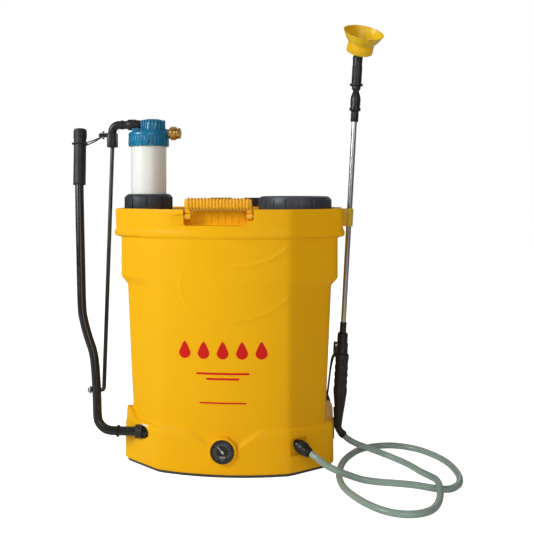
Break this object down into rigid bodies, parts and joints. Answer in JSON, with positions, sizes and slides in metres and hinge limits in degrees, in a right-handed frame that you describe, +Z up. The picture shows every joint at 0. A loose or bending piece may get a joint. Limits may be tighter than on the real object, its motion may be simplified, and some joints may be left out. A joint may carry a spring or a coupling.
{
  "type": "backpack sprayer",
  "caption": "Knapsack sprayer: yellow faceted tank with lever pump, pressure chamber, fill lid, carry handle, base gauge, hose, trigger valve, lance, hooded nozzle and harness.",
  "frame": {"origin": "on the floor under the middle of the tank's base", "axes": "+Z up, +X to the right seen from the tank's front, +Y from the front towards the wearer's side"},
  "size_m": [0.7064, 0.3883, 0.7926],
  "materials": {
    "tank_plastic": "semi-gloss blow-moulded polyethylene, warm yellow",
    "base_plastic": "semi-gloss moulded plastic, warm yellow",
    "tray_plastic": "matt black moulded plastic",
    "steel": "zinc-plated steel",
    "strainer_plastic": "matt dark plastic",
    "gasket_rubber": "soft black rubber",
    "lid_plastic": "satin dark blue-grey plastic, moulded grain",
    "handle_plastic": "semi-gloss yellow plastic",
    "nut_plastic": "satin dark blue-grey plastic",
    "barrel_plastic": "smooth off-white plastic",
    "valve_plastic": "matt dark plastic",
    "ball_plastic": "glossy orange ball",
    "chamber_plastic": "translucent white plastic",
    "cap_plastic": "satin teal-blue plastic",
    "brass": "turned brass, dulled",
    "elbow_plastic": "satin black plastic",
    "wire_rubber": "black rubber-coated wire",
    "black_paint": "gloss black paint on steel tube",
    "grip_rubber": "black ribbed grip",
    "bush_plastic": "matte black nylon",
    "battery_case": "dark blue-grey battery case",
    "motor_can": "plain motor can",
    "pipe_plastic": "clear-ish tube",
    "bezel_plastic": "dark grey bezel",
    "dial_print": "printed dark dial with plain ticks",
    "needle_paint": "white needle",
    "lens_glass": "clear lens",
    "rocker_plastic": "glossy red rocker",
    "hose_pvc": "grey-green translucent PVC hose",
    "stainless": "polished stainless tube",
    "clip_plastic": "translucent yellow clip",
    "nozzle_plastic": "semi-gloss black plastic",
    "hood_plastic": "semi-gloss yellow hood",
    "pad_fabric": "black padded nylon",
    "web_fabric": "black webbing"
  },
  "bodies": {
    "tank": {"tank_shell": "tank_plastic", "base_housing": "base_plastic", "base_tray": "tray_plastic", "base_screws": "steel", "fill_strainer": "strainer_plastic", "handle_pins": "steel", "pump_ring_nut": "nut_plastic", "pump_barrel": "barrel_plastic", "foot_valve": "valve_plastic", "shaft_bushings": "bush_plastic", "battery_pack": "battery_case", "pump_motor": "motor_can", "diaphragm_head": "valve_plastic", "suction_tube": "pipe_plastic", "delivery_tube": "pipe_plastic", "gauge_bezel": "bezel_plastic", "gauge_dial": "dial_print", "gauge_needle": "needle_paint", "gauge_lens": "lens_glass", "switch_housing": "bezel_plastic", "charge_socket": "bezel_plastic", "outlet_spigot": "nozzle_plastic", "outlet_nut": "nozzle_plastic", "hose_run": "hose_pvc", "valve_body": "nozzle_plastic", "valve_grip": "nozzle_plastic", "trigger_pin": "steel", "lance_nut": "nozzle_plastic", "lance_tube": "stainless", "lance_clip": "clip_plastic", "shoulder_pads": "pad_fabric", "harness_webbing": "web_fabric", "harness_buckles": "elbow_plastic", "strap_anchors": "elbow_plastic"},
    "lid_carrier": {"lid_gasket": "gasket_rubber"},
    "lid": {"fill_lid": "lid_plastic"},
    "handle": {"carry_handle": "handle_plastic"},
    "pump_head": {"pump_chamber": "chamber_plastic", "pump_cap": "cap_plastic", "piston_head": "valve_plastic", "cup_seal": "gasket_rubber", "dip_tube": "barrel_plastic", "brass_outlet": "brass", "crosshead_elbow": "elbow_plastic", "elbow_nut": "elbow_plastic", "latch_peg": "elbow_plastic"},
    "lever": {"pump_lever": "black_paint", "lever_grip": "grip_rubber"},
    "link": {"pump_link": "black_paint", "link_clip": "steel"},
    "latch": {"latch_loop": "wire_rubber"},
    "intake_ball": {"intake_ball": "ball_plastic"},
    "delivery_ball": {"delivery_ball": "ball_plastic"},
    "trigger": {"trigger_lever": "nozzle_plastic"},
    "stem": {"valve_stem": "steel", "valve_spring": "steel"},
    "nozzle": {"nozzle_neck": "nozzle_plastic", "spray_hood": "hood_plastic", "nozzle_tip": "brass"},
    "rocker": {"switch_rocker": "rocker_plastic"}
  },
  "joints": [
    {"name": "lever_swing", "type": "hinge", "parent": "tank", "child": "lever", "pos_m": [-0.203, -0.07, 0.061], "axis": [-1, 0, 0], "range_deg": [0, 60]},
    {"name": "pump_stroke", "type": "slide", "parent": "tank", "child": "pump_head", "axis": [0, 0, -1], "range_m": [0, 0.034]},
    {"name": "link_swing", "type": "hinge", "parent": "lever", "child": "link", "pos_m": [-0.2347, -0.06033, 0.12982], "axis": [-1, 0, 0], "range_deg": [-68, 0]},
    {"name": "latch_swing", "type": "hinge", "parent": "lever", "child": "latch", "pos_m": [-0.2886, 0.00585, 0.6007], "axis": [-0.0343, 0.1391, 0.9897], "range_deg": [0, 120]},
    {"name": "lid_lift", "type": "slide", "parent": "tank", "child": "lid_carrier", "axis": [0, 0, 1], "range_m": [0, 0.08]},
    {"name": "lid_turn", "type": "hinge", "parent": "lid_carrier", "child": "lid", "pos_m": [0.118, -0.004, 0.46], "axis": [0, 0, 1], "continuous": true},
    {"name": "handle_fold", "type": "hinge", "parent": "tank", "child": "handle", "pos_m": [-0.008, -0.09993, 0.443], "axis": [1, 0, 0], "range_deg": [0, 60]},
    {"name": "intake_lift", "type": "slide", "parent": "tank", "child": "intake_ball", "axis": [0, 0, 1], "range_m": [0, 0.003]},
    {"name": "delivery_lift", "type": "slide", "parent": "pump_head", "child": "delivery_ball", "axis": [0, 0, 1], "range_m": [0, 0.003]},
    {"name": "trigger_squeeze", "type": "hinge", "parent": "tank", "child": "trigger", "pos_m": [0.19355, 0.01, 0.2043], "axis": [0, -1, 0], "range_deg": [0, 5], "stiffness_Nm_per_rad": 1.5},
    {"name": "stem_push", "type": "slide", "parent": "tank", "child": "stem", "axis": [0.9985, 0, -0.0541], "range_m": [0, 0.001]},
    {"name": "nozzle_turn", "type": "hinge", "parent": "tank", "child": "nozzle", "pos_m": [0.2267, 0.01, 0.6131], "axis": [0.0541, 0, 0.9985], "continuous": true},
    {"name": "switch_rock", "type": "hinge", "parent": "tank", "child": "rocker", "pos_m": [0.18502, 0.03122, 0.0395], "axis": [0, 0, 1], "range_deg": [-16, 0]}
  ],
  "couplings": [
    {"joint": "pump_stroke", "follows": "lever_swing", "m_per_rad": 0.0316},
    {"joint": "link_swing", "follows": "lever_swing", "ratio": -1.122},
    {"joint": "stem_push", "follows": "trigger_squeeze", "m_per_rad": 0.011}
  ]
}
